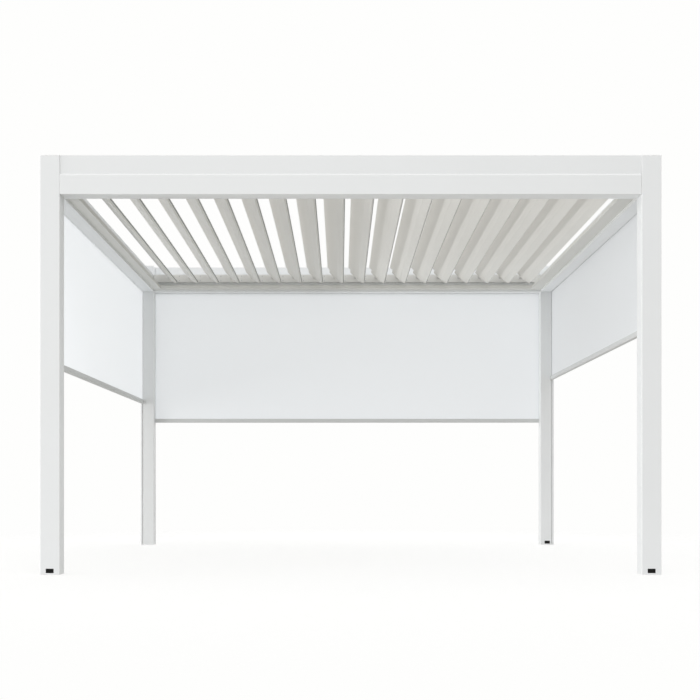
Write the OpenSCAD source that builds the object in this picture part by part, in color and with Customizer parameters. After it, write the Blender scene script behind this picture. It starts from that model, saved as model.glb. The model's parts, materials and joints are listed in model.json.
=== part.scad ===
// Free-standing louvred-roof pergola: four hollow posts, four box beams with an
// inner rain gutter, a roof of turning louvres and three roller screens.
// Millimetres, +Z up, origin on the ground at the middle of the plan.
// X runs along the width, and the open front faces -Y.

/* [Overall] */
// Width over the posts, along X
width = 3600; // [2800:50:4200]
// Depth over the posts, along Y
depth = 3600; // [2800:50:4200]
// Height of the frame above the ground
height = 2430; // [2200:10:2800]

/* [Posts] */
// Side of the square post profile
post_size = 115; // [105:1:140]
// Wall thickness of the post profile
post_wall = 3; // [2:0.5:5]
// Outer corner radius of the post profile
post_corner_r = 4; // [2:0.5:8]
// Thickness of the plate that closes the top of a post
post_cap_t = 4; // [3:0.5:8]

/* [Feet] */
// Thickness of the base plate inside a post
base_plate_t = 8; // [6:1:9]
// Distance between the anchor holes of a base plate
anchor_spacing = 50; // [46:1:54]
// Diameter of an anchor hole
anchor_d = 13; // [9:1:16]
// Width of the rain outlet in a post
outlet_w = 46; // [30:1:60]
// Height of the rain outlet in a post
outlet_h = 26; // [18:1:36]
// Height of the outlet's lower edge above the ground
outlet_z = 9; // [9:1:40]
// Thickness of the rim of the outlet spout
spout_rim = 3; // [2:0.5:4]
// How far the spout reaches back into the post
spout_reach = 22; // [12:1:40]

/* [Beams] */
// Height of the beam profile
beam_h = 226; // [206:1:260]
// Thickness of the beam profile, from outer to inner face
beam_t = 115; // [105:1:140]
// Wall thickness of the beam profile
beam_wall = 3; // [2:0.5:5]
// Height of the beam's inner box, up to the ledge behind the fascia
beam_box_h = 145; // [145:1:160]
// Height of the step in the outer face above the beam's underside
step_z = 114; // [90:1:130]
// Height of the sloped face of the step
step_h = 6; // [4:1:12]
// How far the upper part is set back from the lower one
step_depth = 5; // [3:0.5:8]
// Thickness of the fascia that rises behind the step
fascia_t = 30; // [16:1:40]
// Gap of the butt joint between a beam and a post
joint_gap = 0.8; // [0.3:0.1:0.9]

/* [Gutter] */
// Width of the gutter, from the beam to the face of its lip
gutter_w = 68; // [50:1:80]
// Height of the gutter's underside above the beam's underside
gutter_rise = 17; // [10:1:24]
// Height of the gutter's lip
gutter_lip_h = 26; // [16:1:30]
// Height of the gutter's leg against the beam
gutter_leg_h = 43; // [30:1:50]
// Wall thickness of the gutter profile
gutter_wall = 3; // [2:0.5:4]

/* [Louvres] */
// Number of louvres across the width
louvre_count = 18; // [17:1:18]
// Overlap of two neighbouring louvres when the roof is closed
louvre_overlap = 5; // [4:0.5:9]
// Gap between two neighbouring louvres when the roof is closed
louvre_gap = 6.5; // [6:0.1:7]
// How far the whole row of louvres sits left of the middle
louvre_shift = 21; // [10:1:24]
// Wall thickness of a louvre
louvre_wall = 2; // [1.5:0.1:2.4]
// Turn of the louvres from closed, as the roof stands at rest
louvre_rest_deg = 39; // [20:1:45]
// Height of the low edge's top above the pivot
edge_top = 12; // [11:1:13]
// Height of the face along the low edge
edge_h = 20; // [18:1:24]
// Depth of the keel under a louvre, below the pivot
keel_depth = 14; // [12:1:18]
// Distance of the keel from the pivot, towards the low edge
keel_x = 40; // [20:1:50]
// Width of the rain channel along the low edge
channel_w = 17; // [15:1:20]
// Depth of the rain channel along the low edge
channel_depth = 9; // [7:1:10]
// Thickness of the lip of the rain channel
channel_lip_t = 3; // [2:0.5:4]
// Width of the fin along the high edge
fin_w = 41; // [24:1:44]
// Depth of the heel behind the fin, below the pivot
heel_depth = 4; // [2:0.5:8]
// Thickness of the fin along the high edge
fin_t = 3; // [2.5:0.5:4]
// Height of the louvre pivots above the beam's underside
pivot_z = 123; // [118:1:126]
// Gap between a louvre's end and the gutter's lip
louvre_end_gap = 8; // [6:1:12]
// Thickness of the cap that closes a louvre's end
end_cap_t = 4; // [3:0.5:6]
// Diameter of a pivot pin
pin_d = 16; // [12:1:20]

/* [Pivot rails] */
// Height of the rail that carries the pivots
rail_h = 66; // [60:1:66]
// Height of the rail's middle above the beam's underside
rail_z = 112; // [110:1:112]
// Thickness of the rail that carries the pivots
rail_t = 20; // [14:1:26]
// Wall thickness of the rail
rail_wall = 3; // [2:0.5:4]
// Radial clearance of a pivot pin in its bearing
pin_clearance = 0.3; // [0.2:0.05:0.5]

/* [Screens] */
// Distance from the frame's outer face to the middle of the fabric
screen_inset = 18; // [17:1:26]
// Thickness of the screen fabric
fabric_t = 1.2; // [0.8:0.1:2]
// Height of the left screen's bottom bar above the ground
left_bar_z = 1228; // [300:1:1900]
// Height of the right screen's bottom bar above the ground
right_bar_z = 1437; // [300:1:1900]
// Height of the back screen's bottom bar above the ground
back_bar_z = 1068; // [300:1:1900]
// Height of a bottom bar
bar_h = 34; // [26:1:45]
// Thickness of a bottom bar
bar_t = 26; // [20:1:32]
// Wall thickness of a bottom bar
bar_wall = 2; // [1.5:0.5:3]
// Diameter of a roller tube with its wound fabric
roller_d = 78; // [60:1:84]
// Height of the roller's axis above the beam's underside
roller_z = 62; // [58:1:80]
// Wall thickness of a roller tube
roller_wall = 6; // [3:0.5:10]
// Width of the slot that the fabric leaves the beam by
screen_slot_w = 5; // [4:0.5:10]
// Width of the guide slot in a post
guide_slot_w = 5; // [4:0.5:10]
// How far the fabric's edge reaches into a post
guide_reach = 12; // [8:1:16]
// Space left behind the fabric's edge in its guide
guide_end_gap = 2; // [1:0.5:4]
// Wall thickness of the guide chamber inside a post
guide_wall = 2.5; // [2:0.5:3]

/* [Hidden] */
$fn = 48;
// Gap between pieces that are seated on each other
seat_gap = 0.3;
// How far a cut runs past the face that it opens
cut = 1;

half_w = width / 2;
half_d = depth / 2;
beam_z = height - beam_h;
span_x = width - 2 * post_size;
span_y = depth - 2 * post_size;
inner_x = half_w - beam_t;
inner_y = half_d - beam_t;
lip_x = inner_x - gutter_w;
lip_y = inner_y - gutter_w;
// The right gutter is wider, so that its lip lies under the last louvre's low edge
gutter_right_w = gutter_w + louvre_shift;
lip_right = inner_x - gutter_right_w;

louvre_pitch = 2 * lip_x / louvre_count;
louvre_chord = louvre_pitch + louvre_overlap;
louvre_half_len = lip_y - louvre_end_gap;
pin_end_y = inner_y - seat_gap;
pivot_height = beam_z + pivot_z;

// Louvre section about its pivot: the fin on the high edge lies over the next one's rain channel
half_chord = louvre_chord / 2;
fin_low = edge_top + louvre_gap;
fin_top = fin_low + fin_t;
heel_x = -half_chord + fin_w;
channel_x = half_chord - channel_w;
shoulder_x = channel_x - 6;
shoulder_z = edge_top + 2;

outlet_posts = [[-1, -1], [1, -1], [1, 1]];
corners = [[-1, -1], [1, -1], [-1, 1], [1, 1]];

louvre_names = [for (i = [1 : louvre_count]) str("louvre_", i < 10 ? "0" : "", i)];

frame_white = "#e9ebec";
louvre_white = "#d9d9d6";
fabric_white = "#eef1f4";
rail_grey = "#c4c6c6";
spout_black = "#141414";

// Rectangle centred on the origin with rounded corners
module rounded_rect(w, d, r) {
    square([w, d - 2 * r], center = true);
    square([w - 2 * r, d], center = true);
    for (sx = [-1, 1], sy = [-1, 1])
        translate([sx * (w / 2 - r), sy * (d / 2 - r)]) circle(r);
}

// Hollow rounded box profile centred on the origin
module box_profile(w, d, r, wall) {
    difference() {
        rounded_rect(w, d, r);
        square([w - 2 * wall, d - 2 * wall], center = true);
    }
}

function post_x(sx) = sx * (half_w - post_size / 2);
function post_y(sy) = sy * (half_d - post_size / 2);
function has_outlet(sx, sy) = len([for (p = outlet_posts) if (p == [sx, sy]) 1]) > 0;

// Rectangles from a post's inner faces inwards, one for each screen that runs into the post:
// w is the width along the face, d the depth and out the length past the face
module guide_areas(sx, sy, w, d, out) {
    screen_at = post_size / 2 - screen_inset;
    middle = post_size / 2 + (out - d) / 2;
    translate([sx * screen_at, -sy * middle]) square([w, d + out], center = true);
    if (sy > 0)
        translate([-sx * middle, sy * screen_at]) square([d + out, w], center = true);
}

// Post at one corner: sx is -1 left or 1 right, sy is -1 front or 1 back
module post(sx, sy) {
    guide_depth = guide_reach + guide_end_gap;
    color(frame_white)
    translate([post_x(sx), post_y(sy), 0])
    difference() {
        linear_extrude(height - post_cap_t)
        difference() {
            union() {
                box_profile(post_size, post_size, post_corner_r, post_wall);
                guide_areas(sx, sy, guide_slot_w + 2 * guide_wall, guide_depth + guide_wall, 0);
            }
            guide_areas(sx, sy, guide_slot_w, guide_depth, cut);
        }
        if (has_outlet(sx, sy))
            translate([-outlet_w / 2, -post_size / 2 - cut, outlet_z])
                cube([outlet_w, post_wall + 2 * cut, outlet_h]);
    }
}

// Plates that close the tops of the posts
module post_caps() {
    color(frame_white)
    for (c = corners)
        translate([post_x(c[0]), post_y(c[1]), height - post_cap_t])
            linear_extrude(post_cap_t) rounded_rect(post_size, post_size, post_corner_r);
}

// Anchor plates inside the feet of the posts
module base_plates() {
    side = post_size - 2 * post_wall - 2 * seat_gap;
    notch_w = guide_slot_w + 2 * guide_wall + 2 * seat_gap;
    notch_d = guide_reach + guide_end_gap + guide_wall + seat_gap;
    color(rail_grey)
    for (c = corners)
        translate([post_x(c[0]), post_y(c[1]), 0])
        linear_extrude(base_plate_t)
        difference() {
            square(side, center = true);
            guide_areas(c[0], c[1], notch_w, notch_d, cut);
            for (sx = [-1, 1], sy = [-1, 1])
                translate([sx * anchor_spacing / 2, sy * anchor_spacing / 2]) circle(d = anchor_d);
        }
}

// Black spout liner in each post's rain outlet
module rain_spouts() {
    w = outlet_w - 2 * seat_gap;
    h = outlet_h - 2 * seat_gap;
    color(spout_black)
    for (p = outlet_posts)
        translate([post_x(p[0]), post_y(p[1]) - post_size / 2, outlet_z + seat_gap])
        difference() {
            translate([-w / 2, 0, 0]) cube([w, spout_reach, h]);
            translate([-w / 2 + spout_rim, -cut, spout_rim])
                cube([w - 2 * spout_rim, spout_reach - spout_rim + cut, h - 2 * spout_rim]);
        }
}

// Section of a beam: X from the outer face inwards, Y up from the underside
module beam_profile(with_slot) {
    w = beam_wall;
    step_low = step_z - step_h / 2;
    step_high = step_z + step_h / 2;
    fascia_x = step_depth + fascia_t;
    difference() {
        polygon([
            [0, 0],
            [0, step_low],
            [step_depth, step_high],
            [step_depth, beam_h],
            [fascia_x, beam_h],
            [fascia_x, beam_box_h],
            [beam_t, beam_box_h],
            [beam_t, 0]]);
        polygon([
            [w, w],
            [w, step_low - w / 2],
            [step_depth + w, step_high - w / 2],
            [step_depth + w, beam_h - w],
            [fascia_x - w, beam_h - w],
            [fascia_x - w, beam_box_h - w],
            [beam_t - w, beam_box_h - w],
            [beam_t - w, w]]);
        if (with_slot)
            translate([screen_inset - screen_slot_w / 2, -cut])
                square([screen_slot_w, w + 2 * cut]);
    }
}

// Section of a gutter: X from the beam's inner face inwards, Y up from the beam's underside
module gutter_profile(w, with_lip) {
    translate([0, gutter_rise]) {
        square([w, gutter_wall]);
        square([gutter_wall, gutter_leg_h]);
        if (with_lip)
            translate([w - gutter_wall, 0]) square([gutter_wall, gutter_lip_h]);
    }
}

// Lays a section out along one side: its X points inwards from the outer face, its Y up.
// quarter is 0 front, 1 right, 2 back, 3 left; face is the outer face's distance from the middle;
// from and to are the ends along the side, seen from outside.
module along_side(quarter, face, from, to) {
    rotate([0, 0, 90 * quarter])
    translate([from, -face, beam_z])
    rotate([90, 0, 90])
        linear_extrude(to - from) children();
}

module beam(quarter, with_slot) {
    front_or_back = quarter % 2 == 0;
    half_span = (front_or_back ? span_x : span_y) / 2 - joint_gap;
    color(frame_white)
    along_side(quarter, front_or_back ? half_d : half_w, -half_span, half_span)
        beam_profile(with_slot);
}

// The front and back gutters run from side beam to side beam and take the corners:
// side is -1 front or 1 back
module long_gutter(side) {
    quarter = side < 0 ? 0 : 2;
    left_end = lip_x + gutter_wall;
    right_end = lip_right + gutter_wall;
    color(frame_white) {
        along_side(quarter, inner_y, -inner_x, inner_x) gutter_profile(gutter_w, false);
        along_side(quarter, inner_y, side < 0 ? -left_end : -right_end, side < 0 ? right_end : left_end)
            gutter_profile(gutter_w, true);
    }
}

// The side gutters run between the lips of the front and back ones
module side_gutter(quarter, w) {
    color(frame_white)
    along_side(quarter, inner_x, -lip_y, lip_y) gutter_profile(w, true);
}

function pivot_x(i) = -louvre_shift - lip_x + louvre_pitch * (i - 0.5);

// Hollow rail with a bearing hole for every louvre: side is -1 front or 1 back
module pivot_rail(side) {
    rail_half = inner_x - gutter_wall - seat_gap;
    color(rail_grey)
    translate([0, side * (inner_y - rail_t / 2), beam_z + rail_z])
    difference() {
        cube([2 * rail_half, rail_t, rail_h], center = true);
        cube([2 * (rail_half + cut), rail_t - 2 * rail_wall, rail_h - 2 * rail_wall], center = true);
        for (i = [1 : louvre_count])
            translate([pivot_x(i), 0, pivot_z - rail_z])
                rotate([90, 0, 0])
                    cylinder(d = pin_d + 2 * pin_clearance, h = rail_t + 2 * cut, center = true);
    }
}

// Outline of a louvre when closed, about its pivot: X to the low edge, Y up
module louvre_outline() {
    polygon([
        [-half_chord, fin_top],
        [heel_x, fin_top],
        [shoulder_x, shoulder_z],
        [channel_x, edge_top],
        [channel_x, edge_top - channel_depth],
        [half_chord - channel_lip_t, edge_top - channel_depth],
        [half_chord - channel_lip_t, edge_top],
        [half_chord, edge_top],
        [half_chord, edge_top - edge_h],
        [keel_x, -keel_depth],
        [heel_x, -heel_depth],
        [heel_x, fin_low],
        [-half_chord, fin_low]]);
}

// Hollow chamber inside a louvre
module louvre_chamber() {
    w = louvre_wall;
    under_channel = edge_top - channel_depth - w;
    polygon([
        [heel_x + w, fin_top - 1.1 * w],
        [shoulder_x - w, shoulder_z - w],
        [channel_x - w, edge_top - 0.8 * w],
        [channel_x - w, under_channel],
        [half_chord - w, under_channel],
        [half_chord - w, edge_top - edge_h + w],
        [keel_x, -keel_depth + 1.1 * w],
        [heel_x + w, -heel_depth + 1.1 * w]]);
}

// One louvre with its end caps and pivot pins, turned to where it stands at rest
module louvre(i) {
    color(louvre_white)
    translate([pivot_x(i), 0, pivot_height])
    rotate([0, louvre_rest_deg, 0])
    difference() {
        rotate([90, 0, 0]) {
            linear_extrude(2 * louvre_half_len, center = true) louvre_outline();
            cylinder(d = pin_d, h = 2 * pin_end_y, center = true);
        }
        rotate([90, 0, 0])
            linear_extrude(2 * (louvre_half_len - end_cap_t), center = true) louvre_chamber();
    }
}

// Fabric of one screen, from its roller down to its bottom bar
module screen(quarter, face, bay, bar_z) {
    bottom = bar_z + bar_h;
    top = beam_z + roller_z;
    color(fabric_white)
    rotate([0, 0, 90 * quarter])
    translate([-bay / 2 - guide_reach, -face + screen_inset - fabric_t / 2, bottom])
        cube([bay + 2 * guide_reach, fabric_t, top - bottom]);
}

// Hollow bar along the lower edge of one screen
module screen_bar(quarter, face, bay, bar_z) {
    length = bay - 2 * seat_gap;
    color(frame_white)
    rotate([0, 0, 90 * quarter])
    translate([-length / 2, -face + screen_inset, bar_z + bar_h / 2])
    rotate([90, 0, 90])
        linear_extrude(length) box_profile(bar_t, bar_h, bar_wall, bar_wall);
}

// Roller tube of one screen, inside the beam, with the fabric leaving its outer side
module screen_roller(quarter, face, bay) {
    length = bay - 2 * seat_gap;
    axis_in = screen_inset + fabric_t / 2 + seat_gap + roller_d / 2;
    color(rail_grey)
    rotate([0, 0, 90 * quarter])
    translate([0, -face + axis_in, beam_z + roller_z])
    rotate([0, 90, 0])
    difference() {
        cylinder(d = roller_d, h = length, center = true);
        cylinder(d = roller_d - 2 * roller_wall, h = length + 2 * cut, center = true);
    }
}

post(-1, -1);  // post_front_left
post(1, -1);  // post_front_right
post(-1, 1);  // post_back_left
post(1, 1);  // post_back_right
post_caps();
base_plates();
rain_spouts();
beam(0, false);  // beam_front
beam(1, true);  // beam_right
beam(2, true);  // beam_back
beam(3, true);  // beam_left
long_gutter(-1);  // gutter_front
long_gutter(1);  // gutter_back
side_gutter(1, gutter_right_w);  // gutter_right
side_gutter(3, gutter_w);  // gutter_left
pivot_rail(-1);  // pivot_rail_front
pivot_rail(1);  // pivot_rail_back
screen(1, half_w, span_y, right_bar_z);  // screen_right
screen(2, half_d, span_x, back_bar_z);  // screen_back
screen(3, half_w, span_y, left_bar_z);  // screen_left
screen_bar(1, half_w, span_y, right_bar_z);  // screen_bar_right
screen_bar(2, half_d, span_x, back_bar_z);  // screen_bar_back
screen_bar(3, half_w, span_y, left_bar_z);  // screen_bar_left
screen_roller(1, half_w, span_y);  // screen_roller_right
screen_roller(2, half_d, span_x);  // screen_roller_back
screen_roller(3, half_w, span_y);  // screen_roller_left
for (i = [1 : louvre_count])
    louvre(i);
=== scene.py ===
"""Looks of a free-standing louvred-roof pergola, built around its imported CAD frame.

The script gives every CAD node a procedural finish, replaces the plain screen slabs by
woven sheets, and adds the small hardware that the CAD leaves out. All sizes are in metres,
in the CAD's own frame: X along the width, the open front at -Y, Z up from the ground.
"""

import json
import logging
import math
from collections.abc import Iterable, Sequence
from dataclasses import dataclass
from enum import Enum

import bmesh
import bpy
from mathutils import Matrix, Vector


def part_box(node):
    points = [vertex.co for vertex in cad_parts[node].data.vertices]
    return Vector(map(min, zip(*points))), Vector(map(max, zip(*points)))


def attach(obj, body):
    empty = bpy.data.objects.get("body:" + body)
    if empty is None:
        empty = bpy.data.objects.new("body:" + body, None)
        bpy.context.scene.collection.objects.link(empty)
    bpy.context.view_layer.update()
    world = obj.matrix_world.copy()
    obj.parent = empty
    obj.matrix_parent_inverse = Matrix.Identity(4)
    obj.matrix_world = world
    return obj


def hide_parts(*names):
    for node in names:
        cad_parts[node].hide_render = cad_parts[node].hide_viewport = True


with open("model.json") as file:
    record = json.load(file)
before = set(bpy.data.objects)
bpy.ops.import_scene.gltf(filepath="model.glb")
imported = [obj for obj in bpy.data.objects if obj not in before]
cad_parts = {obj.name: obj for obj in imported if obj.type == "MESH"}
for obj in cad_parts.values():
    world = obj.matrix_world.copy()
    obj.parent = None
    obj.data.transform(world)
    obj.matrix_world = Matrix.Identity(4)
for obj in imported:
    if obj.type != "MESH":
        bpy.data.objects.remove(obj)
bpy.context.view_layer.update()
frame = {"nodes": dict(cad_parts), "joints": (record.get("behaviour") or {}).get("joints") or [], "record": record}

LOG = logging.getLogger("pergola")
FRAME_BODY = "frame"
MM = 0.001
# The CAD's louvres stop this far before the gutter's lip, and reach this far over the next blade
LOUVRE_END_GAP = 8.0 * MM
LOUVRE_OVERLAP = 5.0 * MM
# A Mix node holds one socket set per data type, and these are the places of its colour sockets
MIX_START = 6
MIX_END = 7
MIX_RESULT = 2
# A wave texture turns by this many radians for each unit of its scale
WAVE_TURN = 20.0
WELD_DISTANCE = 1e-6
SHARP_ANGLE = math.radians(35.0)


class Slot(str, Enum):
    """Material slots of the part's record."""

    FRAME = "frame_coat"
    LOUVRE = "louvre_coat"
    GUTTER = "gutter_coat"
    RAIL = "rail_coat"
    BAR = "bar_coat"
    FABRIC = "screen_fabric"
    METAL = "bare_aluminium"
    SPOUT = "spout_plastic"


class Side(Enum):
    """Sides that carry a roller screen, with the outward direction of each."""

    LEFT = ("left", (-1.0, 0.0))
    RIGHT = ("right", (1.0, 0.0))
    BACK = ("back", (0.0, 1.0))

    @property
    def label(self) -> str:
        """Return the word that the CAD node names use for the side."""
        return self.value[0]

    @property
    def outward(self) -> Vector:
        """Return the horizontal unit vector that points away from the pergola's middle."""
        return Vector((*self.value[1], 0.0))


def to_linear(code: str) -> tuple[float, float, float, float]:
    """Turn an sRGB hex code into a linear colour.

    Args:
        code: Six hex digits with a leading hash.

    Returns:
        Linear red, green and blue, with alpha 1.
    """
    parts = [int(code[i:i + 2], 16) / 255 for i in (1, 3, 5)]
    linear = [c / 12.92 if c <= 0.04045 else ((c + 0.055) / 1.055) ** 2.4 for c in parts]
    return (linear[0], linear[1], linear[2], 1.0)


def cells(size_mm: float) -> float:
    """Texture scale whose cells have a real size.

    Args:
        size_mm: Size of one cell in millimetres.

    Returns:
        Cells per metre.
    """
    return 1000.0 / size_mm


def add_node(tree: bpy.types.NodeTree, kind: str, values: dict[str | int, object] | None = None,
             **settings: object) -> bpy.types.Node:
    """Add a node, set its options and fill or link its inputs.

    Args:
        tree: Node tree that gets the node.
        kind: Blender's node type name.
        values: Input name or index to a constant or to the socket that feeds it.
        **settings: Attributes of the node itself.

    Returns:
        The new node.
    """
    node = tree.nodes.new(kind)
    for name, value in settings.items():
        setattr(node, name, value)
    for key, value in (values or {}).items():
        socket = node.inputs[key]
        if isinstance(value, bpy.types.NodeSocket):
            tree.links.new(value, socket)
        else:
            socket.default_value = value
    return node


def new_material(name: str) -> tuple[bpy.types.Material, bpy.types.NodeTree, bpy.types.Node]:
    """Make an empty node material.

    Args:
        name: Name of the real material.

    Returns:
        The material, its node tree and its output node.
    """
    material = bpy.data.materials.new(name)
    material.use_nodes = True
    tree = material.node_tree
    tree.nodes.clear()
    return material, tree, add_node(tree, "ShaderNodeOutputMaterial")


@dataclass(frozen=True)
class PowderCoat:
    """Matt powder coat on aluminium: fine orange peel, faint clouding, and a painted highlight that makes rounded
    edges brighter.
    """

    name: str
    colour: str
    shade: str
    roughness: float = 0.52
    roughness_spread: float = 0.06
    peel_mm: float = 1.6
    peel_depth_mm: float = 0.05
    peel_strength: float = 0.12
    cloud_mm: float = 420.0
    edge_mm: float = 3.5
    # Colour of the painted highlight that the rounded edges are blended towards
    edge_colour: str = "#FFFFFF"
    edge_samples: int = 6
    edge_cosines: tuple[float, float] = (0.999, 0.975)

    def build(self) -> bpy.types.Material:
        """Make the material.

        Returns:
            The finished material.
        """
        material, tree, out = new_material(self.name)
        place = add_node(tree, "ShaderNodeTexCoord").outputs["Object"]
        cloud = add_node(tree, "ShaderNodeTexNoise",
                         {"Vector": place, "Scale": cells(self.cloud_mm), "Detail": 4.0, "Roughness": 0.6})
        tint = add_node(tree, "ShaderNodeMix",
                        {"Factor": cloud.outputs["Fac"], MIX_START: to_linear(self.colour),
                         MIX_END: to_linear(self.shade)}, data_type="RGBA")
        peel = add_node(tree, "ShaderNodeTexNoise",
                        {"Vector": place, "Scale": cells(self.peel_mm), "Detail": 2.0})
        gloss = add_node(tree, "ShaderNodeMapRange",
                         {"Value": peel.outputs["Fac"], "To Min": self.roughness - self.roughness_spread,
                          "To Max": self.roughness + self.roughness_spread})
        edge = add_node(tree, "ShaderNodeBevel", {"Radius": self.edge_mm * MM},
                        samples=self.edge_samples)
        flat = add_node(tree, "ShaderNodeNewGeometry").outputs["True Normal"]
        bend = add_node(tree, "ShaderNodeVectorMath",
                        {0: edge.outputs["Normal"], 1: flat}, operation="DOT_PRODUCT")
        # The cosines are of the turns at which the painted highlight on a rounded edge starts to show and shows
        # fully
        rounded = add_node(tree, "ShaderNodeMapRange",
                           {"Value": bend.outputs["Value"], "From Min": self.edge_cosines[0],
                            "From Max": self.edge_cosines[1]})
        # Painted highlight: the base colour is blended towards the highlight colour on rounded edges
        coat = add_node(tree, "ShaderNodeMix",
                        {"Factor": rounded.outputs["Result"], MIX_START: tint.outputs[MIX_RESULT],
                         MIX_END: to_linear(self.edge_colour)}, data_type="RGBA")
        bump = add_node(tree, "ShaderNodeBump",
                        {"Strength": self.peel_strength, "Distance": self.peel_depth_mm * MM,
                         "Height": peel.outputs["Fac"], "Normal": edge.outputs["Normal"]})
        skin = add_node(tree, "ShaderNodeBsdfPrincipled",
                        {"Base Color": coat.outputs[MIX_RESULT], "Roughness": gloss.outputs["Result"],
                         "Normal": bump.outputs["Normal"], "IOR": 1.5})
        tree.links.new(skin.outputs["BSDF"], out.inputs["Surface"])
        return material


@dataclass(frozen=True)
class ScreenWeave:
    """Coated screen fabric: crossing yarns, a denser welded hem and a little light through it."""

    name: str
    colour: str
    yarn: str
    yarn_mm: float = 0.9
    hem_mm: float = 28.0
    slub_mm: float = 180.0
    relief_mm: float = 0.2
    relief_strength: float = 0.35
    hem_rise: float = 2.0
    roughness: float = 0.78
    sheen: float = 0.15
    sheen_roughness: float = 0.5
    through: float = 0.56

    def build(self) -> bpy.types.Material:
        """Make the material. UVs are metres along the width and up from the bottom bar.

        Returns:
            The finished material.
        """
        material, tree, out = new_material(self.name)
        cloth = add_node(tree, "ShaderNodeUVMap", uv_map="cloth").outputs["UV"]
        pitch = 2 * math.pi / WAVE_TURN * cells(self.yarn_mm)
        bands = [add_node(tree, "ShaderNodeTexWave", {"Vector": cloth, "Scale": pitch},
                          bands_direction=axis, wave_profile="SIN") for axis in ("X", "Y")]
        weave = add_node(tree, "ShaderNodeMath",
                         {0: bands[0].outputs["Fac"], 1: bands[1].outputs["Fac"]}, operation="MAXIMUM")
        slub = add_node(tree, "ShaderNodeTexNoise",
                        {"Vector": cloth, "Scale": cells(self.slub_mm), "Detail": 5.0})
        height = add_node(tree, "ShaderNodeSeparateXYZ", {"Vector": cloth}).outputs["Y"]
        hem = add_node(tree, "ShaderNodeMath", {0: height, 1: self.hem_mm * MM}, operation="LESS_THAN")
        open_weave = add_node(tree, "ShaderNodeMapRange",
                              {"Value": weave.outputs["Value"], "To Min": 1.0, "To Max": 0.0})
        mixed = add_node(tree, "ShaderNodeMath",
                         {0: open_weave.outputs["Result"], 1: slub.outputs["Fac"]}, operation="MULTIPLY")
        tint = add_node(tree, "ShaderNodeMix",
                        {"Factor": mixed.outputs["Value"], MIX_START: to_linear(self.colour),
                         MIX_END: to_linear(self.yarn)}, data_type="RGBA")
        # The hem is welded double, so it stands higher than the yarns
        relief = add_node(tree, "ShaderNodeMath",
                          {0: hem.outputs["Value"], 1: self.hem_rise, 2: weave.outputs["Value"]},
                          operation="MULTIPLY_ADD")
        bump = add_node(tree, "ShaderNodeBump",
                        {"Strength": self.relief_strength, "Distance": self.relief_mm * MM,
                         "Height": relief.outputs["Value"]})
        face = add_node(tree, "ShaderNodeBsdfPrincipled",
                        {"Base Color": tint.outputs[MIX_RESULT], "Roughness": self.roughness,
                         "Normal": bump.outputs["Normal"], "Sheen Weight": self.sheen,
                         "Sheen Roughness": self.sheen_roughness})
        glow = add_node(tree, "ShaderNodeBsdfTranslucent",
                        {"Color": to_linear(self.colour), "Normal": bump.outputs["Normal"]})
        both = add_node(tree, "ShaderNodeMixShader",
                        {0: self.through, 1: face.outputs["BSDF"], 2: glow.outputs["BSDF"]})
        tree.links.new(both.outputs["Shader"], out.inputs["Surface"])
        return material


@dataclass(frozen=True)
class BareMetal:
    """Bare aluminium or steel with a fine mill grain."""

    name: str
    colour: str
    grain_mm: float = 0.7
    grain_depth_mm: float = 0.03
    grain_strength: float = 0.2
    roughness: tuple[float, float] = (0.32, 0.5)

    def build(self) -> bpy.types.Material:
        """Make the material.

        Returns:
            The finished material.
        """
        material, tree, out = new_material(self.name)
        place = add_node(tree, "ShaderNodeTexCoord").outputs["Object"]
        grain = add_node(tree, "ShaderNodeTexNoise",
                         {"Vector": place, "Scale": cells(self.grain_mm), "Detail": 3.0})
        gloss = add_node(tree, "ShaderNodeMapRange",
                         {"Value": grain.outputs["Fac"], "To Min": self.roughness[0],
                          "To Max": self.roughness[1]})
        bump = add_node(tree, "ShaderNodeBump",
                        {"Strength": self.grain_strength, "Distance": self.grain_depth_mm * MM,
                         "Height": grain.outputs["Fac"]})
        skin = add_node(tree, "ShaderNodeBsdfPrincipled",
                        {"Base Color": to_linear(self.colour), "Metallic": 1.0,
                         "Roughness": gloss.outputs["Result"], "Normal": bump.outputs["Normal"]})
        tree.links.new(skin.outputs["BSDF"], out.inputs["Surface"])
        return material


@dataclass(frozen=True)
class Moulded:
    """Moulded plastic or rubber with a fine spark-eroded grain."""

    name: str
    colour: str
    roughness: float
    roughness_spread: float = 0.08
    grain_mm: float = 0.8
    grain_depth_mm: float = 0.06
    grain_strength: float = 0.3

    def build(self) -> bpy.types.Material:
        """Make the material.

        Returns:
            The finished material.
        """
        material, tree, out = new_material(self.name)
        place = add_node(tree, "ShaderNodeTexCoord").outputs["Object"]
        grain = add_node(tree, "ShaderNodeTexVoronoi", {"Vector": place, "Scale": cells(self.grain_mm)})
        gloss = add_node(tree, "ShaderNodeMapRange",
                         {"Value": grain.outputs["Distance"],
                          "To Min": self.roughness - self.roughness_spread,
                          "To Max": self.roughness + self.roughness_spread})
        bump = add_node(tree, "ShaderNodeBump",
                        {"Strength": self.grain_strength, "Distance": self.grain_depth_mm * MM,
                         "Height": grain.outputs["Distance"]})
        skin = add_node(tree, "ShaderNodeBsdfPrincipled",
                        {"Base Color": to_linear(self.colour), "Roughness": gloss.outputs["Result"],
                         "Normal": bump.outputs["Normal"]})
        tree.links.new(skin.outputs["BSDF"], out.inputs["Surface"])
        return material


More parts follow.
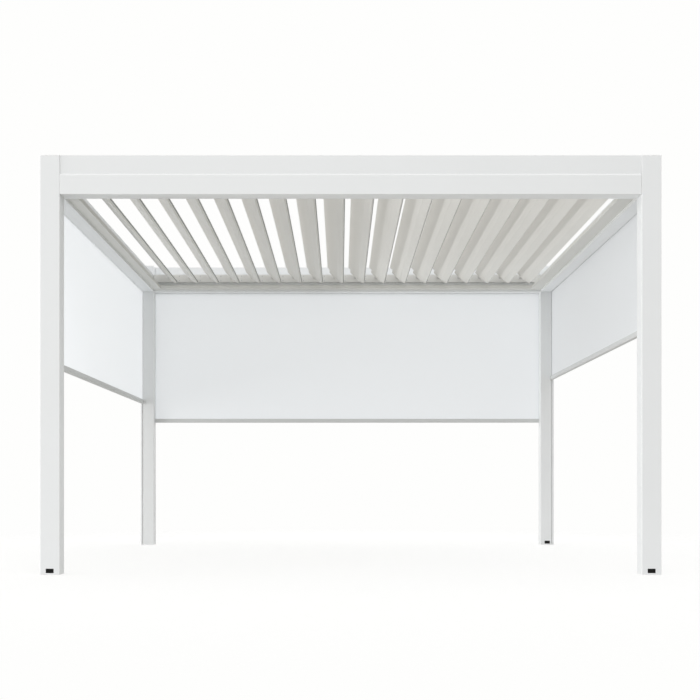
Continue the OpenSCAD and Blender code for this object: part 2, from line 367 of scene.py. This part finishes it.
class Finishes:
    """All the materials, built once."""

    def __init__(self) -> None:
        """Build every finish."""
        # Powder coat on the posts and beams: matt white, with a painted highlight that makes the rounded edges
        # near pure white
        self.frame = PowderCoat("white_powder_coat", "#ECEEEF", "#E8EAEB").build()
        # The same coat on the louvres: a little warmer, with soft edges
        self.louvre = PowderCoat("white_powder_coat_louvre", "#E9E8E4", "#E5E4E0",
                                 edge_mm=1.5, edge_colour="#E9E8E4").build()
        # The same coat on the gutter: greyer than the beams, as painted shade for the gutter's place in shadow
        self.gutter = PowderCoat("gutter_powder_coat_painted_shade", "#DADAD6", "#D6D6D2",
                                 edge_mm=1.5, edge_colour="#DADAD6").build()
        # The same coat on the pivot rails: a shade below the louvres
        self.rail = PowderCoat("white_powder_coat_rail", "#E2E2DF", "#DDDDDA",
                               edge_mm=1.5, edge_colour="#E2E2DF").build()
        # The same coat on the screens' bottom bars: a pale grey that is painted shade on a white coat, with a
        # faint painted highlight on the edges
        self.bar = PowderCoat("bar_powder_coat_painted_shade", "#D6D8D8", "#D2D4D4",
                              edge_mm=2.0, edge_colour="#DCDEDE").build()
        # Coated woven screen: a cool white that glows a little where light comes through
        self.fabric = ScreenWeave("woven_screen_fabric", "#F7FAFD", "#EFF3F7").build()
        # Mill aluminium of the rollers and anchor plates: pale grey with a broken satin shine
        self.metal = BareMetal("mill_aluminium", "#B9BCBD").build()
        # Moulded plastic of the rain outlets: near black, kept dull by its grain
        self.spout = Moulded("black_moulded_plastic", "#141414", 0.45).build()
        # Acetal of the bearing bushes: off-white with a waxy shine
        self.bush = Moulded("white_acetal", "#D8D9D7", 0.4).build()
        # Rubber of the louvres' edge seals: matt, in a dark mid grey that also paints the shade along each
        # louvre's low edge
        self.seal = Moulded("grey_rubber_seal_and_painted_shade", "#8A8D8C", 0.65).build()
        # Stainless steel of the screws: brighter than the aluminium, with a finer grain
        self.screw = BareMetal("stainless_steel", "#C9CBCC", grain_mm=0.3).build()

    def for_slot(self, slot: Slot) -> bpy.types.Material:
        """Find the finish of one of the record's slots.

        Args:
            slot: The record's material slot.

        Returns:
            The material that the slot is shown with.
        """
        return {Slot.FRAME: self.frame, Slot.LOUVRE: self.louvre, Slot.GUTTER: self.gutter,
                Slot.RAIL: self.rail, Slot.BAR: self.bar, Slot.FABRIC: self.fabric,
                Slot.METAL: self.metal, Slot.SPOUT: self.spout}[slot]


def link_mesh(name: str, mesh: bpy.types.Mesh) -> bpy.types.Object:
    """Put a mesh into the scene at the origin.

    Args:
        name: Name of the object.
        mesh: Its mesh, in the row frame.

    Returns:
        The new object.
    """
    obj = bpy.data.objects.new(name, mesh)
    bpy.context.scene.collection.objects.link(obj)
    return obj


def lathe(profile: Sequence[tuple[float, float]], turn: Matrix, steps: int = 20) -> bpy.types.Mesh:
    """Turn a closed profile round an axis.

    Args:
        profile: Radius and height of each point, in order round the section.
        turn: Matrix that places the lathe's Z axis.
        steps: Segments round the axis.

    Returns:
        The turned mesh.
    """
    bm = bmesh.new()
    rings = []
    for step in range(steps):
        angle = 2 * math.pi * step / steps
        rings.append([bm.verts.new((r * math.cos(angle), r * math.sin(angle), z)) for r, z in profile])
    for step in range(steps):
        near, far = rings[step], rings[(step + 1) % steps]
        for i in range(len(profile)):
            j = (i + 1) % len(profile)
            bm.faces.new((near[i], far[i], far[j], near[j]))
    bmesh.ops.remove_doubles(bm, verts=bm.verts, dist=WELD_DISTANCE)
    bmesh.ops.recalc_face_normals(bm, faces=bm.faces)
    bmesh.ops.transform(bm, matrix=turn, verts=bm.verts)
    mesh = bpy.data.meshes.new("lathe")
    bm.to_mesh(mesh)
    bm.free()
    return mesh


def bevelled_box(size: Sequence[float], edge: float, turn: Matrix) -> bpy.types.Mesh:
    """Make a box with rounded edges.

    Args:
        size: Length along X, Y and Z.
        edge: Width of the rounding.
        turn: Matrix that places the box.

    Returns:
        The mesh.
    """
    bm = bmesh.new()
    bmesh.ops.create_cube(bm, size=1.0)
    bmesh.ops.scale(bm, vec=Vector(size), verts=bm.verts)
    bmesh.ops.bevel(bm, geom=list(bm.edges), offset=edge, segments=2, affect="EDGES")
    bmesh.ops.transform(bm, matrix=turn, verts=bm.verts)
    mesh = bpy.data.meshes.new("box")
    bm.to_mesh(mesh)
    bm.free()
    return mesh


class Repeater:
    """Geometry Nodes group that sets copies of a piece out along a line."""

    def __init__(self) -> None:
        """Build the node group once."""
        group = bpy.data.node_groups.new("repeat_along_line", "GeometryNodeTree")
        face = group.interface
        face.new_socket("Geometry", in_out="OUTPUT", socket_type="NodeSocketGeometry")
        for name, kind in (("Piece", "NodeSocketObject"), ("Count", "NodeSocketInt"),
                           ("Start", "NodeSocketVector"), ("Step", "NodeSocketVector"),
                           ("Axis", "NodeSocketVector"), ("Twist", "NodeSocketFloat"),
                           ("Seed", "NodeSocketInt"), ("Material", "NodeSocketMaterial")):
            face.new_socket(name, in_out="INPUT", socket_type=kind)
        given = add_node(group, "NodeGroupInput")
        line = add_node(group, "GeometryNodeMeshLine",
                        {"Count": given.outputs["Count"], "Start Location": given.outputs["Start"],
                         "Offset": given.outputs["Step"]}, mode="OFFSET")
        spread = add_node(group, "FunctionNodeRandomValue", {"Seed": given.outputs["Seed"]},
                          data_type="FLOAT")
        amount = add_node(group, "ShaderNodeMath",
                          {0: spread.outputs[1], 1: given.outputs["Twist"]}, operation="MULTIPLY")
        turn = add_node(group, "ShaderNodeVectorMath",
                        {0: given.outputs["Axis"], "Scale": amount.outputs["Value"]}, operation="SCALE")
        piece = add_node(group, "GeometryNodeObjectInfo", {"Object": given.outputs["Piece"]},
                         transform_space="ORIGINAL")
        copies = add_node(group, "GeometryNodeInstanceOnPoints",
                          {"Points": line.outputs["Mesh"], "Instance": piece.outputs["Geometry"],
                           "Rotation": turn.outputs["Vector"]})
        whole = add_node(group, "GeometryNodeRealizeInstances", {"Geometry": copies.outputs["Instances"]})
        painted = add_node(group, "GeometryNodeSetMaterial",
                           {"Geometry": whole.outputs["Geometry"], "Material": given.outputs["Material"]})
        add_node(group, "NodeGroupOutput", {"Geometry": painted.outputs["Geometry"]})
        self.group = group
        self.sockets = {item.name: item.identifier for item in face.items_tree if item.in_out == "INPUT"}

    def run(self, piece: bpy.types.Mesh, count: int, start: Sequence[float], step: Sequence[float],
            material: bpy.types.Material, axis: Sequence[float] = (0.0, 0.0, 0.0), twist: float = 0.0,
            seed: int = 7) -> bpy.types.Mesh:
        """Set a piece out and return the whole row as a plain mesh.

        Args:
            piece: Mesh of one piece, about its own origin.
            count: Number of copies.
            start: Place of the first copy.
            step: Distance to the next copy.
            material: Finish of the copies.
            axis: Axis that the copies are turned about.
            twist: Largest turn, in radians.
            seed: Seed of the turns.

        Returns:
            The row's mesh.
        """
        source = link_mesh("repeat_source", piece)
        host = link_mesh("repeat_host", bpy.data.meshes.new("repeat_host"))
        modifier = host.modifiers.new("repeat", "NODES")
        modifier.node_group = self.group
        inputs = {"Piece": source, "Count": count, "Start": tuple(start), "Step": tuple(step),
                  "Axis": tuple(axis), "Twist": twist, "Seed": seed, "Material": material}
        for name, value in inputs.items():
            modifier[self.sockets[name]] = value
        bpy.context.view_layer.update()
        graph = bpy.context.evaluated_depsgraph_get()
        mesh = bpy.data.meshes.new_from_object(host.evaluated_get(graph))
        host.modifiers.remove(modifier)
        bpy.data.objects.remove(host)
        bpy.data.objects.remove(source)
        return mesh


def join(name: str, meshes: Iterable[bpy.types.Mesh], body: str) -> bpy.types.Object:
    """Join plain meshes into one finished piece on a body.

    Args:
        name: Name of the piece.
        meshes: Meshes in the row frame, each with its own material.
        body: CAD body that carries the piece.

    Returns:
        The finished piece.
    """
    materials: list[bpy.types.Material] = []
    bm = bmesh.new()
    for mesh in meshes:
        first = len(bm.faces)
        bm.from_mesh(mesh)
        bm.faces.ensure_lookup_table()
        for face in bm.faces[first:]:
            material = mesh.materials[face.material_index]
            if material not in materials:
                materials.append(material)
            face.material_index = materials.index(material)
            face.smooth = True
    joined = bpy.data.meshes.new(name)
    bm.to_mesh(joined)
    bm.free()
    for material in materials:
        joined.materials.append(material)
    joined.set_sharp_from_angle(angle=SHARP_ANGLE)
    obj = link_mesh(name, joined)
    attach(obj, body)
    return obj


def screw_head(radius: float, turn: Matrix) -> bpy.types.Mesh:
    """Make a pan-head screw with a recess for its driver.

    Args:
        radius: Radius of the head.
        turn: Matrix that points the head's axis.

    Returns:
        The screw's mesh, about the underside of its head.
    """
    # The outline is given in shares of the head's radius and height
    tall = radius * 0.62
    profile = [(0.0, 0.0), (radius, 0.0), (radius, tall * 0.35), (radius * 0.86, tall * 0.8),
               (radius * 0.55, tall), (radius * 0.45, tall), (radius * 0.42, tall * 0.35),
               (0.0, tall * 0.3)]
    return lathe(profile, turn, 18)


@dataclass
class FrameFinish:
    """The finish of every CAD node."""

    finishes: Finishes
    nodes: dict[str, bpy.types.Object]
    subparts: Sequence[dict]

    def build(self) -> None:
        """Give each CAD node the material of its record slot."""
        for entry in self.subparts:
            obj = self.nodes[entry["node"]]
            material = self.finishes.for_slot(Slot(entry["material_slot"]))
            if not obj.material_slots:
                obj.data.materials.append(material)
            for place in obj.material_slots:
                place.material = material
        LOG.info("finished %d CAD nodes", len(self.subparts))


@dataclass
class RollerScreen:
    """One drawn-down screen: a woven sheet between the roller and its bottom bar."""

    side: Side
    finishes: Finishes
    billow: float = 3.0 * MM
    roll_off: float = 1.08
    ripple: float = 0.3
    ripple_count: float = 5.0
    ripple_lean: float = 2.0
    along: int = 96
    down: int = 36

    def build(self) -> bpy.types.Object:
        """Make the sheet in the place of its CAD slab.

        Returns:
            The finished sheet.
        """
        node = f"screen_{self.side.label}"
        low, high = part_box(node)
        middle = (low + high) / 2
        run = Vector((abs(self.side.outward.y), abs(self.side.outward.x), 0.0))
        width = (high - low).dot(run)
        drop = high.z - low.z
        bm = bmesh.new()
        layer = bm.loops.layers.uv.new("cloth")
        grid = []
        places = {}
        for row in range(self.down + 1):
            v = row / self.down
            line = []
            for column in range(self.along + 1):
                u = column / self.along
                vert = bm.verts.new(self._point(middle, low.z, run, width, drop, u, v))
                places[vert] = (u * width, v * drop)
                line.append(vert)
            grid.append(line)
        for row in range(self.down):
            for column in range(self.along):
                face = bm.faces.new((grid[row][column], grid[row][column + 1],
                                     grid[row + 1][column + 1], grid[row + 1][column]))
                face.smooth = True
                for loop in face.loops:
                    loop[layer].uv = places[loop.vert]
        name = f"screen_cloth_{self.side.label}"
        mesh = bpy.data.meshes.new(name)
        bm.to_mesh(mesh)
        bm.free()
        mesh.materials.append(self.finishes.fabric)
        obj = link_mesh(name, mesh)
        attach(obj, FRAME_BODY)
        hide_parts(node)
        LOG.info("%s: %.3f by %.3f m", name, width, drop)
        return obj

    def _point(self, middle: Vector, foot: float, run: Vector, width: float, drop: float,
               u: float, v: float) -> Vector:
        """Place one point of the sheet, with the slight billow of a tensioned screen.

        Args:
            middle: Middle of the CAD slab.
            foot: Height of the sheet's lower edge.
            run: Horizontal direction along the sheet.
            width: Width of the sheet.
            drop: Height of the sheet.
            u: Place along the width, 0 to 1.
            v: Place up the sheet, 0 to 1.

        Returns:
            The point in the row frame.
        """
        # The billow dies out just below the roller and ripples along the width
        held = math.sin(math.pi * u) * math.sin(math.pi * min(1.0, v * self.roll_off))
        phase = self.ripple_count * math.pi * u + self.ripple_lean * v
        wave = held * (1.0 - self.ripple + self.ripple * math.cos(phase))
        place = Vector((middle.x, middle.y, foot + v * drop)) + run * ((u - 0.5) * width)
        return place + self.side.outward * (self.billow * wave)


@dataclass
class PivotHardware:
    """Bearing bushes and screws on the rails that carry the louvres."""

    finishes: Finishes
    repeater: Repeater
    first: Vector
    pitch: float
    count: int
    pin_radius: float = 8.0 * MM
    pin_clearance: float = 0.4 * MM
    collar: float = 3.0 * MM
    flange: float = 6.0 * MM
    flange_tall: float = 1.6 * MM
    bush_tall: float = 5.0 * MM
    fillet: tuple[float, float] = (0.5 * MM, 0.8 * MM)
    screw_radius: float = 5.0 * MM
    screw_inset: float = 14.0 * MM
    screw_turn: float = 1.2
    seeds: tuple[int, int] = (11, 12)

    def build(self) -> list[bpy.types.Object]:
        """Make the hardware of both rails.

        Returns:
            One piece for each rail.
        """
        made = []
        for label, inward in (("front", 1.0), ("back", -1.0)):
            low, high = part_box(f"pivot_rail_{label}")
            face = high.y if inward > 0 else low.y
            turn = Matrix.Rotation(math.radians(-90.0 * inward), 4, "X")
            inner = self.pin_radius + self.pin_clearance
            outer = inner + self.flange
            neck = inner + self.collar
            bush = lathe([(inner, 0.0), (outer, 0.0), (outer, self.flange_tall),
                          (neck + self.fillet[0], self.flange_tall + self.fillet[1]),
                          (neck, self.bush_tall), (inner, self.bush_tall)], turn, 28)
            step = (self.pitch, 0.0, 0.0)
            bushes = self.repeater.run(bush, self.count, (self.first.x, face, self.first.z), step,
                                       self.finishes.bush)
            screw = screw_head(self.screw_radius, turn)
            between = self.first.x + self.pitch / 2
            heights = (high.z - self.screw_inset, low.z + self.screw_inset)
            rows = [self.repeater.run(screw.copy(), self.count - 1, (between, face, height), step,
                                      self.finishes.screw, (0.0, 1.0, 0.0), self.screw_turn, seed)
                    for height, seed in zip(heights, self.seeds)]
            made.append(join(f"rail_hardware_{label}", [bushes, *rows], FRAME_BODY))
        return made


@dataclass
class GutterHardware:
    """Screws along the gutters' legs."""

    finishes: Finishes
    repeater: Repeater
    spacing: float = 0.45
    leg_wall: float = 3.0 * MM
    below_top: float = 10.0 * MM
    screw_radius: float = 4.0 * MM
    screw_turn: float = 1.2
    seed: int = 21

    def build(self) -> list[bpy.types.Object]:
        """Make the screws of the four gutters.

        Returns:
            One piece for each gutter.
        """
        made = []
        for label, inward in (("front", (0, 1)), ("back", (0, -1)), ("left", (1, 0)), ("right", (-1, 0))):
            low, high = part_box(f"gutter_{label}")
            way = Vector((*inward, 0.0))
            run = Vector((abs(way.y), abs(way.x), 0.0))
            turn = way.to_track_quat("Z", "Y").to_matrix().to_4x4()
            middle = (low + high) / 2
            depth = abs((high - low).dot(way))
            leg = middle - way * (depth / 2 - self.leg_wall)
            length = (high - low).dot(run)
            count = int(length // self.spacing)
            start = leg - run * (self.spacing * (count - 1) / 2)
            start.z = high.z - self.below_top
            row = self.repeater.run(screw_head(self.screw_radius, turn), count, start, run * self.spacing,
                                    self.finishes.screw, way, self.screw_turn, self.seed)
            made.append(join(f"gutter_screws_{label}", [row], FRAME_BODY))
        return made


@dataclass(frozen=True)
class Seal:
    """Section of a rubber strip along a louvre's low edge, which also serves as painted shade, placed from the
    edge's upper corner.
    """

    inset: float
    rise: float
    thick: float
    tall: float


@dataclass
class LouvreTrim:
    """End-cap screws and the rubber seals of each louvre; the taller seal on the low edge is also a dark strip of
    painted shade.
    """

    finishes: Finishes
    repeater: Repeater
    joints: Sequence[dict]
    rest_deg: float
    half_length: float
    chord: float
    edge_top: float = 12.0 * MM
    # The second, taller strip lies on the low edge's face and is also a dark strip of painted shade along that
    # edge
    seals: Sequence[Seal] = (Seal(1.5 * MM, 1.1 * MM, 2.6 * MM, 2.4 * MM),
                             Seal(0.5 * MM, -4.5 * MM, 1.6 * MM, 6.0 * MM))
    seal_edge: float = 0.6 * MM
    seal_end_gap: float = 5.0 * MM
    screw_radius: float = 3.6 * MM
    screw_place: tuple[float, float] = (-35.0 * MM, 7.5 * MM)
    screw_step: tuple[float, float, float] = (85.0 * MM, 0.0, -6.5 * MM)
    screw_turn: float = 1.2
    seed: int = 31

    def build(self) -> list[bpy.types.Object]:
        """Make the trim of every louvre.

        Returns:
            One piece for each louvre.
        """
        made = []
        rows = self._local_rows()
        tilt = Matrix.Rotation(math.radians(self.rest_deg), 4, "Y")
        for joint in self.joints:
            place = Matrix.Translation(Vector(joint["pos_m"])) @ tilt
            meshes = []
            for row in rows:
                mesh = row.copy()
                mesh.transform(place)
                meshes.append(mesh)
            made.append(join(f"{joint['child']}_trim", meshes, joint["child"]))
        return made

    def _local_rows(self) -> list[bpy.types.Mesh]:
        """Make the trim of one closed louvre about its pivot.

        Returns:
            Meshes of the screws and the seals.
        """
        rows = []
        across, up = self.screw_place
        for way in (-1.0, 1.0):
            turn = Matrix.Rotation(math.radians(-90.0 * way), 4, "X")
            rows.append(self.repeater.run(screw_head(self.screw_radius, turn), 2,
                                          (across, way * self.half_length, up), self.screw_step,
                                          self.finishes.screw, (0.0, 1.0, 0.0), self.screw_turn,
                                          self.seed))
        length = 2 * (self.half_length - self.seal_end_gap)
        for strip in self.seals:
            spot = Vector((self.chord / 2 - strip.inset, 0.0, self.edge_top + strip.rise))
            seal = bevelled_box((strip.thick, length, strip.tall), self.seal_edge, Matrix.Translation(spot))
            seal.materials.append(self.finishes.seal)
            rows.append(seal)
        return rows


@dataclass
class SpoutGrilles:
    """Ribs inside the black rain outlets."""

    finishes: Finishes
    repeater: Repeater
    places: Sequence[Vector]
    width: float = 39.4 * MM
    height: float = 19.4 * MM
    ribs: int = 6
    rib_thick: float = 2.2 * MM
    rib_deep: float = 6.0 * MM
    rib_inset: float = 4.5 * MM
    rib_edge: float = 0.7 * MM

    def build(self) -> bpy.types.Object:
        """Make the grilles of all the outlets.

        Returns:
            One piece with every rib.
        """
        gap = self.width / (self.ribs + 1)
        rib = bevelled_box((self.rib_thick, self.rib_deep, self.height), self.rib_edge, Matrix.Identity(4))
        first = Vector((gap - self.width / 2, self.rib_inset, 0.0))
        step = (gap, 0.0, 0.0)
        rows = [self.repeater.run(rib.copy(), self.ribs, place + first, step, self.finishes.spout)
                for place in self.places]
        return join("spout_ribs", rows, FRAME_BODY)


@dataclass(frozen=True)
class Lamp:
    """One soft square lamp."""

    name: str
    place: tuple[float, float, float]
    target: tuple[float, float, float]
    size: float
    watts: float

    def build(self) -> None:
        """Hang the lamp and face it to its target."""
        lamp = bpy.data.lights.new(self.name, "AREA")
        lamp.size = self.size
        lamp.energy = self.watts
        obj = bpy.data.objects.new(self.name, lamp)
        obj.location = self.place
        obj.rotation_euler = (Vector(self.target) - Vector(self.place)).to_track_quat("-Z", "Y").to_euler()
        bpy.context.scene.collection.objects.link(obj)


@dataclass(frozen=True)
class GroundBounce:
    """The low light that bright ground throws up under the roof."""

    name: str
    way: tuple[float, float, float]
    strength: float
    spread_deg: float

    def build(self) -> None:
        """Add the light along its way."""
        lamp = bpy.data.lights.new(self.name, "SUN")
        lamp.energy = self.strength
        lamp.angle = math.radians(self.spread_deg)
        obj = bpy.data.objects.new(self.name, lamp)
        obj.rotation_euler = Vector(self.way).to_track_quat("-Z", "Y").to_euler()
        bpy.context.scene.collection.objects.link(obj)


@dataclass
class Studio:
    """Floor, lights, backdrop and the camera that matches the photograph."""

    eye: tuple[float, float, float] = (-0.059, -8.700, 0.519)
    lens: float = 61.3
    sensor: float = 36.0
    shift: tuple[float, float] = (0.0136, 0.193)
    view_depth: float = 200.0
    backdrop: str = "#FEFEFD"
    ground_glow: str = "#B0AEA9"
    sky_glow: str = "#FFFFFF"
    horizon: tuple[float, float] = (-0.15, 0.25)
    floor_colours: tuple[str, str] = ("#FDFDFC", "#FAFAF9")
    floor_cloud_mm: float = 900.0
    floor_roughness: float = 0.95
    floor_gloss: float = 0.1
    floor_cover: float = 0.25
    floor_radius: float = 6.0
    floor_fade: tuple[float, float] = (2.6, 5.5)
    lights: tuple[Lamp | GroundBounce, ...] = (
        Lamp("left_light", (-9.0, -4.0, 1.0), (0.5, -1.0, 1.3), 4.0, 225.0),
        Lamp("front_light", (0.5, -8.0, 7.0), (0.0, -1.8, 1.6), 4.0, 85.0),
        Lamp("low_front_light", (0.5, -16.0, 2.0), (0.0, 0.0, 1.4), 8.0, 120.0),
        Lamp("back_light", (0.0, 8.5, 4.0), (0.0, 1.5, 1.6), 6.0, 160.0),
        GroundBounce("ground_bounce", (0.873, 0.06, 0.480), 0.74, 6.0),
    )

    def build(self) -> None:
        """Make the stage, the lights and the camera."""
        self._floor()
        self._sky()
        for light in self.lights:
            light.build()
        self._camera()
        bpy.context.scene.view_settings.view_transform = "Standard"

    def _camera(self) -> None:
        """Set up the camera, level and straight on, with a shifted lens."""
        camera = bpy.data.cameras.new("camera")
        camera.lens = self.lens
        camera.sensor_width = self.sensor
        camera.shift_x, camera.shift_y = self.shift
        camera.clip_end = self.view_depth
        obj = bpy.data.objects.new("camera", camera)
        obj.location = self.eye
        obj.rotation_euler = (math.radians(90.0), 0.0, 0.0)
        bpy.context.scene.collection.objects.link(obj)
        bpy.context.scene.camera = obj

    def _floor(self) -> None:
        """Lay a pale floor that fades out round the part."""
        material, tree, out = new_material("pale_floor")
        place = add_node(tree, "ShaderNodeTexCoord").outputs["Object"]
        speckle = add_node(tree, "ShaderNodeTexNoise",
                           {"Vector": place, "Scale": cells(self.floor_cloud_mm), "Detail": 3.0})
        tint = add_node(tree, "ShaderNodeMix",
                        {"Factor": speckle.outputs["Fac"], MIX_START: to_linear(self.floor_colours[0]),
                         MIX_END: to_linear(self.floor_colours[1])}, data_type="RGBA")
        skin = add_node(tree, "ShaderNodeBsdfPrincipled",
                        {"Base Color": tint.outputs[MIX_RESULT], "Roughness": self.floor_roughness,
                         "Specular IOR Level": self.floor_gloss})
        away = add_node(tree, "ShaderNodeVectorMath", {0: place}, operation="LENGTH")
        fade = add_node(tree, "ShaderNodeMapRange",
                        {"Value": away.outputs["Value"], "From Min": self.floor_fade[0],
                         "From Max": self.floor_fade[1], "To Min": 1.0 - self.floor_cover, "To Max": 1.0},
                        interpolation_type="SMOOTHSTEP")
        clear = add_node(tree, "ShaderNodeBsdfTransparent")
        both = add_node(tree, "ShaderNodeMixShader",
                        {0: fade.outputs["Result"], 1: skin.outputs["BSDF"], 2: clear.outputs["BSDF"]})
        tree.links.new(both.outputs["Shader"], out.inputs["Surface"])
        bm = bmesh.new()
        bmesh.ops.create_circle(bm, cap_ends=True, radius=self.floor_radius, segments=96)
        mesh = bpy.data.meshes.new("floor")
        bm.to_mesh(mesh)
        bm.free()
        mesh.materials.append(material)
        link_mesh("floor", mesh)

    def _sky(self) -> None:
        """Light the scene from a dome that is darker below, and show plain white behind it."""
        world = bpy.data.worlds.new("studio")
        bpy.context.scene.world = world
        world.use_nodes = True
        tree = world.node_tree
        tree.nodes.clear()
        path = add_node(tree, "ShaderNodeLightPath")
        way = add_node(tree, "ShaderNodeTexCoord").outputs["Generated"]
        up = add_node(tree, "ShaderNodeSeparateXYZ", {"Vector": way}).outputs["Z"]
        rise = add_node(tree, "ShaderNodeMapRange",
                        {"Value": up, "From Min": self.horizon[0], "From Max": self.horizon[1]},
                        interpolation_type="SMOOTHSTEP")
        dome = add_node(tree, "ShaderNodeMix",
                        {"Factor": rise.outputs["Result"], MIX_START: to_linear(self.ground_glow),
                         MIX_END: to_linear(self.sky_glow)}, data_type="RGBA")
        soft = add_node(tree, "ShaderNodeBackground",
                        {"Color": dome.outputs[MIX_RESULT], "Strength": 1.0})
        plain = add_node(tree, "ShaderNodeBackground",
                         {"Color": to_linear(self.backdrop), "Strength": 1.0})
        pick = add_node(tree, "ShaderNodeMixShader",
                        {0: path.outputs["Is Camera Ray"], 1: soft.outputs["Background"],
                         2: plain.outputs["Background"]})
        add_node(tree, "ShaderNodeOutputWorld", {"Surface": pick.outputs["Shader"]})


def main() -> None:
    """Build every part of the looks in order."""
    logging.basicConfig(level=logging.INFO, format="%(name)s: %(message)s")
    record = frame["record"]
    joints = frame["joints"]
    finishes = Finishes()
    repeater = Repeater()
    FrameFinish(finishes, frame["nodes"], record["subparts"]).build()
    pieces = [RollerScreen(side, finishes).build() for side in Side]
    first = Vector(joints[0]["pos_m"])
    pitch = joints[1]["pos_m"][0] - joints[0]["pos_m"][0]
    pieces += PivotHardware(finishes, repeater, first, pitch, len(joints)).build()
    pieces += GutterHardware(finishes, repeater).build()
    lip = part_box("gutter_back")[0].y
    pieces += LouvreTrim(finishes, repeater, joints, rest_deg=-joints[0]["range_deg"][0],
                         half_length=lip - LOUVRE_END_GAP, chord=pitch + LOUVRE_OVERLAP).build()
    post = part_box("post_front_left")
    inset = (post[1].x - post[0].x) / 2
    low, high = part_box("rain_spouts")
    corners = [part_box(f"post_{foot}")[0] for foot in ("front_left", "front_right", "back_right")]
    places = [Vector((corner.x + inset, corner.y, (low.z + high.z) / 2)) for corner in corners]
    pieces.append(SpoutGrilles(finishes, repeater, places).build())
    for piece in pieces:
        LOG.info("%s: %d faces", piece.name, len(piece.data.polygons))
    Studio().build()


if __name__ == "__main__":
    main()
